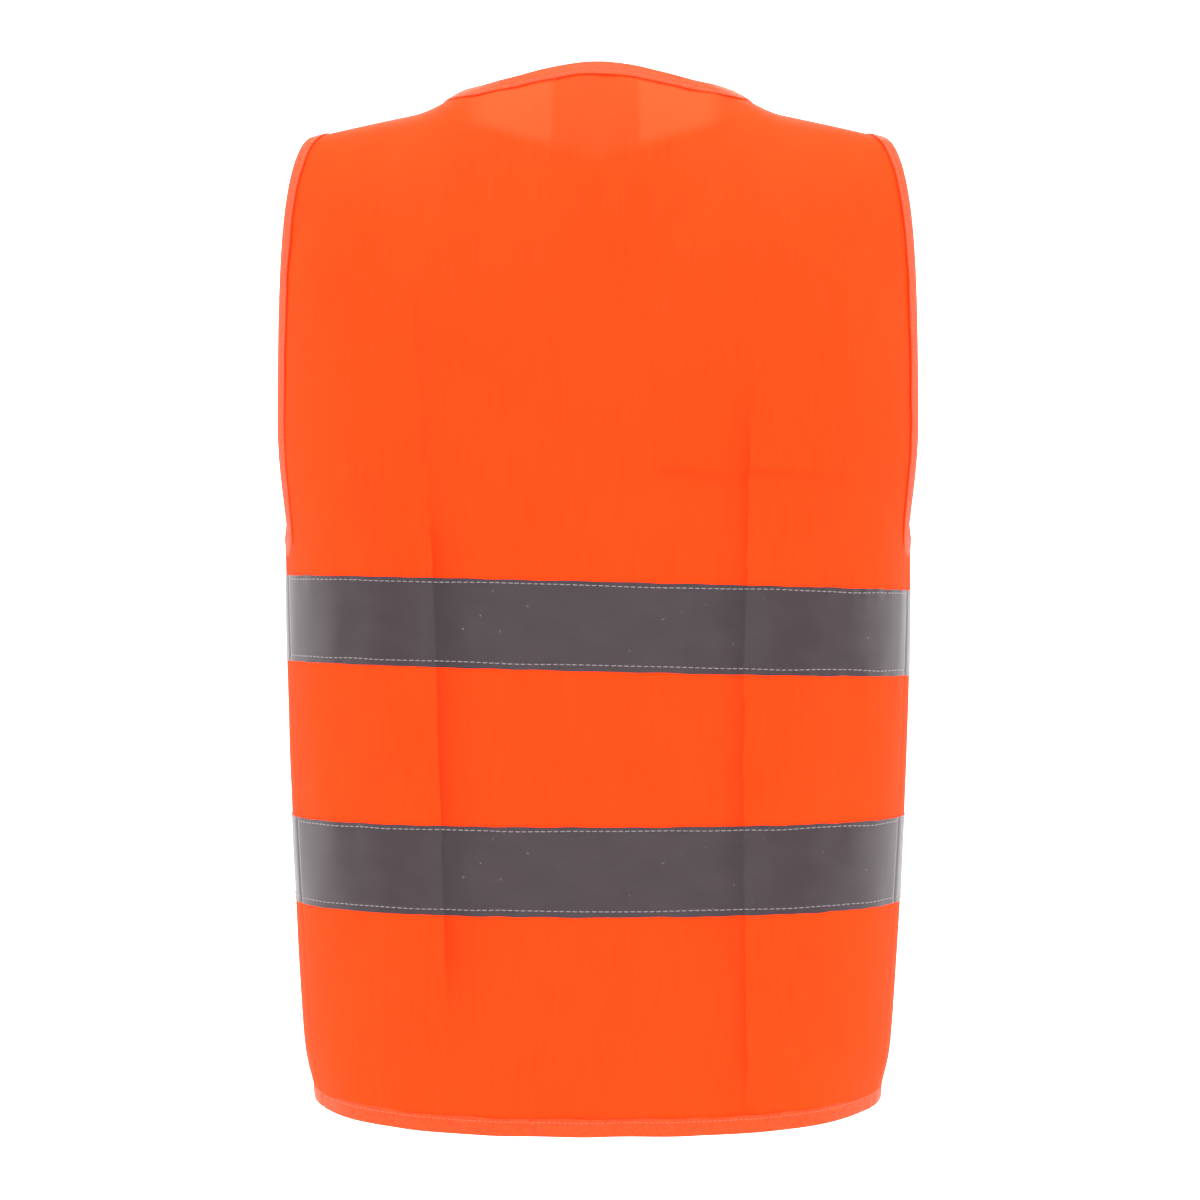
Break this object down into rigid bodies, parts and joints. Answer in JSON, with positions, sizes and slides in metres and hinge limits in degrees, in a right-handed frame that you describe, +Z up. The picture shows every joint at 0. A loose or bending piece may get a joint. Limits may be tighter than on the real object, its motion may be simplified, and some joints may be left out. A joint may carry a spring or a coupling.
{
  "type": "high visibility vest",
  "caption": "Sleeveless V-neck work vest in fluorescent knit with grey retroreflective tapes, bound edges and a front that opens.",
  "frame": {"origin": "midway between the neck ends of the two shoulder seams, where the vest hangs on the wearer's shoulders", "axes": "+Z up, the wearer faces -Y, +X to the wearer's left"},
  "size_m": [0.3786, 0.2338, 0.6086],
  "materials": {
    "knit": "fluorescent orange warp-knitted polyester with fine vertical ribs",
    "binding": "woven polyester binding in the knit's colour",
    "tape": "grey retroreflective glass-bead tape with a soft sheen",
    "thread": "light grey polyester sewing thread",
    "seam_thread": "orange overlock thread",
    "hook": "moulded nylon hooks",
    "loop": "brushed nylon loops",
    "label": "plain white satin label, blank"
  },
  "bodies": {
    "back": {"back_panel": "knit", "back_upper_tape": "tape", "back_lower_tape": "tape", "back_upper_tape_thread": "thread", "back_lower_tape_thread": "thread", "back_neck_binding": "binding", "back_hem_binding": "binding", "left_armhole_binding_back": "binding", "right_armhole_binding_back": "binding", "left_shoulder_seam": "seam_thread", "right_shoulder_seam": "seam_thread", "left_side_seam": "seam_thread", "right_side_seam": "seam_thread"},
    "left_front": {"left_front_panel": "knit", "left_front_upper_tape": "tape", "left_front_lower_tape": "tape", "left_front_upper_tape_thread": "thread", "left_front_lower_tape_thread": "thread", "left_front_edge_binding": "binding", "left_front_hem_binding": "binding", "left_armhole_binding_front": "binding", "hook_patches": "hook"},
    "right_front": {"right_front_panel": "knit", "right_front_upper_tape": "tape", "right_front_lower_tape": "tape", "right_front_upper_tape_thread": "thread", "right_front_lower_tape_thread": "thread", "right_front_edge_binding": "binding", "right_front_hem_binding": "binding", "right_armhole_binding_front": "binding", "loop_patches": "loop"},
    "neck_label": {"neck_label": "label"}
  },
  "joints": [
    {"name": "left_front_open", "type": "hinge", "parent": "back", "child": "left_front", "pos_m": [0.183, -0.035, 0], "axis": [0, 0, 1], "range_deg": [0, 60]},
    {"name": "right_front_open", "type": "hinge", "parent": "back", "child": "right_front", "pos_m": [-0.183, -0.035, 0], "axis": [0, 0, 1], "range_deg": [-50, 0]},
    {"name": "neck_label_swing", "type": "hinge", "parent": "back", "child": "neck_label", "pos_m": [0, 0.066, 0.006], "axis": [1, 0, 0], "range_deg": [-110, 0]}
  ],
  "couplings": [
    {"joint": "right_front_open", "follows": "left_front_open", "ratio": -0.78}
  ]
}
